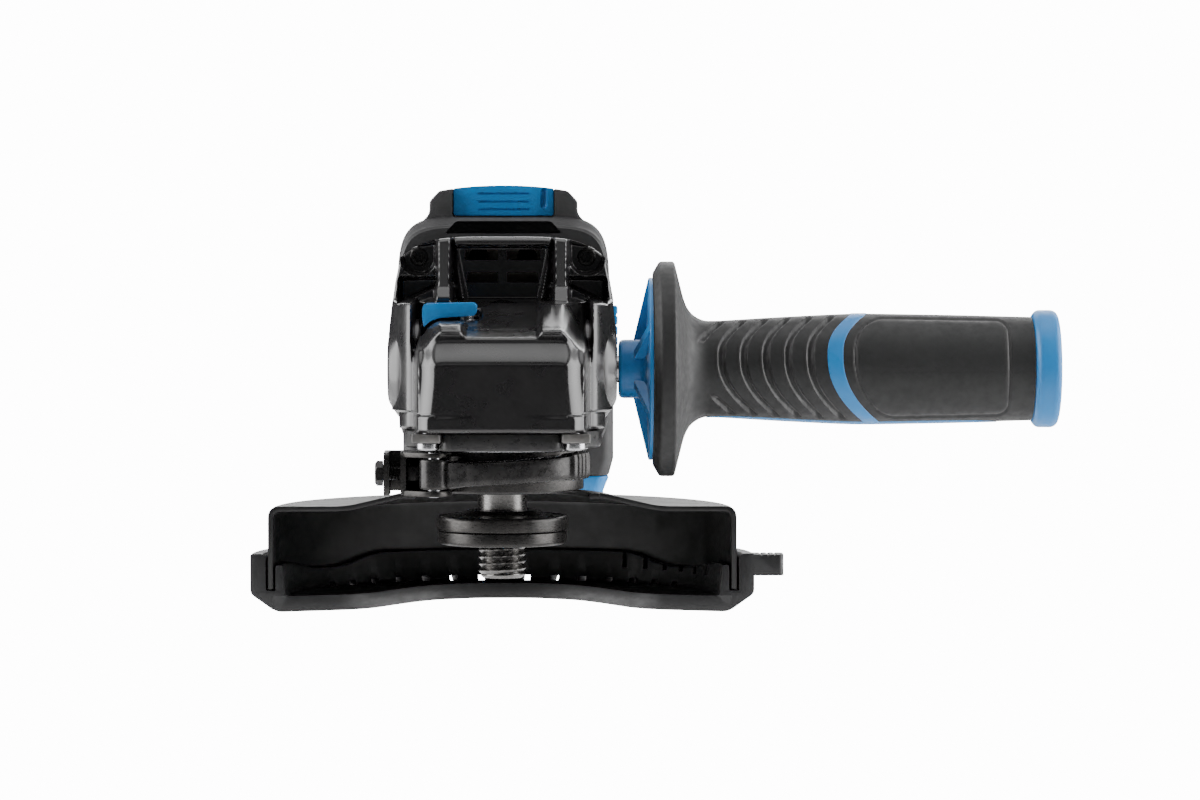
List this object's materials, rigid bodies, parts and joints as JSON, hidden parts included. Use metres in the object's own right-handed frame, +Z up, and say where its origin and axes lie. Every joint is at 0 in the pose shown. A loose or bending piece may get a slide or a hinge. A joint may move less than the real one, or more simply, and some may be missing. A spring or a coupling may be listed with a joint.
{
  "type": "angle grinder",
  "caption": "Cordless angle grinder with gear head, turnable wheel guard with clip-on cover, slide switch, spindle lock, side handle and rear battery pack.",
  "frame": {"origin": "centre of the free end of the spindle", "axes": "+Z up along the spindle, +X towards the side handle, +Y towards the battery"},
  "size_m": [0.2331, 0.3047, 0.1232],
  "materials": {
    "case_paint": "gloss black paint on cast aluminium",
    "cast_cover": "cast aluminium, satin",
    "pale_plastic": "pale glass-filled nylon",
    "housing_plastic": "dark grey glass-filled nylon, fine grain",
    "soft_grip": "black soft-touch overmould",
    "lamination": "stacked electrical steel",
    "copper": "enamelled copper",
    "machined_steel": "ground steel",
    "spindle_steel": "blackened machined steel",
    "dark_plastic": "black nylon",
    "board": "green circuit board",
    "dark_steel": "blackened steel",
    "blue_plastic": "blue nylon, satin",
    "guard_paint": "black powder coat on sheet steel",
    "cover_plastic": "black nylon, satin",
    "cell_sleeve": "shrink sleeve"
  },
  "bodies": {
    "housing": {"gear_case": "case_paint", "gear_case_screw_1": "dark_steel", "gear_case_screw_2": "dark_steel", "gear_case_screw_3": "dark_steel", "gear_case_screw_4": "dark_steel", "bearing_cover": "cast_cover", "cover_screw_1": "dark_steel", "cover_screw_2": "dark_steel", "cover_screw_3": "dark_steel", "cover_screw_4": "dark_steel", "air_baffle": "pale_plastic", "motor_housing": "housing_plastic", "grip_shell_left": "soft_grip", "grip_shell_right": "soft_grip", "stator": "lamination", "winding_front": "copper", "winding_rear": "copper", "motor_bearing_front": "machined_steel", "motor_bearing_rear": "machined_steel", "spindle_bearing_lower": "machined_steel", "spindle_bearing_upper": "machined_steel", "lock_spring": "machined_steel", "switch_unit": "dark_plastic", "control_board": "board", "terminal_block": "dark_plastic"},
    "spindle": {"spindle": "spindle_steel", "ring_gear": "dark_steel", "inner_flange": "dark_steel", "outer_flange_nut": "dark_steel"},
    "rotor": {"rotor_shaft": "machined_steel", "rotor_core": "lamination", "fan": "pale_plastic", "pinion": "dark_steel"},
    "lock_button": {"spindle_lock_button": "blue_plastic", "lock_pin": "machined_steel"},
    "switch": {"slide_switch": "blue_plastic", "switch_rod": "machined_steel"},
    "guard": {"guard_drum": "guard_paint", "clamp_band": "guard_paint", "clamp_screw": "dark_steel", "clamp_nut": "dark_steel", "lever_pin": "machined_steel"},
    "lever": {"clamp_lever": "guard_paint"},
    "cover": {"clip_on_cover": "cover_plastic"},
    "side_handle": {"handle_stud": "machined_steel", "handle_core": "blue_plastic", "handle_grip": "soft_grip", "handle_end_ring": "blue_plastic"},
    "battery": {"battery_case_upper": "housing_plastic", "battery_case_lower": "blue_plastic", "cell_pack": "cell_sleeve", "battery_terminals": "copper"},
    "release_left": {"release_button_left": "blue_plastic"},
    "release_right": {"release_button_right": "blue_plastic"},
    "gauge": {"gauge_button": "dark_plastic"}
  },
  "joints": [
    {"name": "spindle_spin", "type": "hinge", "parent": "housing", "child": "spindle", "pos_m": [0, 0, 0.03], "axis": [0, 0, 1], "continuous": true},
    {"name": "rotor_spin", "type": "hinge", "parent": "housing", "child": "rotor", "pos_m": [0, 0.07, 0.068], "axis": [0, 1, 0], "continuous": true},
    {"name": "lock_button_press", "type": "slide", "parent": "housing", "child": "lock_button", "axis": [0, 0, -1], "range_m": [0, 0.0033], "stiffness_N_per_m": 900, "springref_m": -0.002, "deforming": ["lock_spring"]},
    {"name": "switch_slide", "type": "slide", "parent": "housing", "child": "switch", "axis": [0, -1, 0], "range_m": [0, 0.007]},
    {"name": "guard_turn", "type": "hinge", "parent": "housing", "child": "guard", "pos_m": [0, 0, 0.03], "axis": [0, 0, 1], "range_deg": [-90, 90]},
    {"name": "clamp_lever_turn", "type": "hinge", "parent": "guard", "child": "lever", "pos_m": [-0.019, -0.0256, 0.031], "axis": [0, 0, -1], "range_deg": [0, 100]},
    {"name": "cover_unclip", "type": "slide", "parent": "guard", "child": "cover", "axis": [0, 0, -1], "range_m": [0, 0.03]},
    {"name": "handle_unscrew", "type": "hinge", "parent": "housing", "child": "side_handle", "pos_m": [0.09, 0.008, 0.0598], "axis": [1, 0, 0], "continuous": true},
    {"name": "battery_slide", "type": "slide", "parent": "housing", "child": "battery", "axis": [0, 0, -1], "range_m": [0, 0.09]},
    {"name": "release_left_press", "type": "slide", "parent": "battery", "child": "release_left", "axis": [1, 0, 0], "range_m": [0, 0.002], "stiffness_N_per_m": 1200, "springref_m": -0.001},
    {"name": "release_right_press", "type": "slide", "parent": "battery", "child": "release_right", "axis": [-1, 0, 0], "range_m": [0, 0.002], "stiffness_N_per_m": 1200, "springref_m": -0.001},
    {"name": "gauge_press", "type": "slide", "parent": "battery", "child": "gauge", "axis": [0, -1, 0], "range_m": [0, 0.0008], "stiffness_N_per_m": 1500, "springref_m": -0.0006}
  ],
  "couplings": [
    {"joint": "rotor_spin", "follows": "spindle_spin", "ratio": 3}
  ]
}
